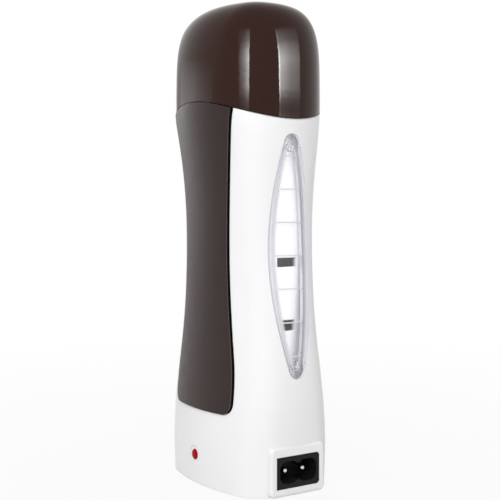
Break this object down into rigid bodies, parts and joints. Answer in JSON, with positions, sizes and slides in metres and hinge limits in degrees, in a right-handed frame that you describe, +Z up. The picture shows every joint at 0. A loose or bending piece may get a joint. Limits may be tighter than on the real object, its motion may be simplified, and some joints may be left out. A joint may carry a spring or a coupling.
{
  "type": "roll on wax heater",
  "caption": "Hand-held hourglass warmer: an open-topped heated well for a roll-on wax cartridge, side level windows, a mains inlet and a domed lift-off cap.",
  "frame": {"origin": "centre of the footprint, on the surface that the heater stands on", "axes": "+Z up; the front panel and indicator face -Y; the mains inlet faces +X"},
  "size_m": [0.073, 0.055, 0.197],
  "materials": {
    "white_casing": "glossy moulded white",
    "white_inner": "plain moulded white",
    "dark_panel": "satin warm dark grey",
    "dark_cap": "glossy very dark brown",
    "clear_lens": "clear polished",
    "mark_white": "plain white",
    "black_inlet": "fine-grained black",
    "pin_brass": "nickel-plated",
    "terminal_brass": "tinned",
    "steel": "zinc-plated",
    "plate_aluminium": "mill finish",
    "foil": "bright",
    "mica": "pale flaky sheet",
    "stone": "dull ceramic",
    "fuse_case": "tinned",
    "glass_sleeving": "woven glass",
    "brown_lead": "insulation",
    "blue_lead": "insulation",
    "thin_lead": "insulation",
    "foot_rubber": "soft",
    "board": "bare phenolic board",
    "lamp": "diffused red",
    "red_lens": "tinted clear red",
    "resistor_body": "lacquered"
  },
  "bodies": {
    "heater": {"base_plate": "white_casing", "base_screws": "steel", "body_shell": "white_casing", "clip_screws": "steel", "collar": "white_inner", "dropper_resistor": "resistor_body", "electrode_inner": "foil", "electrode_outer": "foil", "foot_front_left": "foot_rubber", "foot_front_right": "foot_rubber", "foot_rear_left": "foot_rubber", "foot_rear_right": "foot_rubber", "front_panel": "dark_panel", "fuse_sleeving": "glass_sleeving", "fuse_strap": "steel", "heater_clip": "steel", "heater_plate": "plate_aluminium", "indicator_board": "board", "indicator_lamp": "lamp", "indicator_leads": "thin_lead", "indicator_lens": "red_lens", "inlet_pin_line": "pin_brass", "inlet_pin_neutral": "pin_brass", "lead_line": "brown_lead", "lead_link": "brown_lead", "lead_neutral": "blue_lead", "level_marks_left": "mark_white", "level_marks_right": "mark_white", "mica_inner": "mica", "mica_outer": "mica", "power_inlet": "black_inlet", "ptc_stones": "stone", "rear_panel": "dark_panel", "sleeve_screws": "steel", "spade_terminals": "terminal_brass", "splice_crimps": "terminal_brass", "thermal_fuse": "fuse_case", "well_sleeve": "white_inner", "window_left": "clear_lens", "window_right": "clear_lens"},
    "cap": {"cap": "dark_cap"}
  },
  "joints": [
    {"name": "cap_lift", "type": "slide", "parent": "heater", "child": "cap", "axis": [0, 0, 1], "range_m": [0, 0.06]}
  ]
}
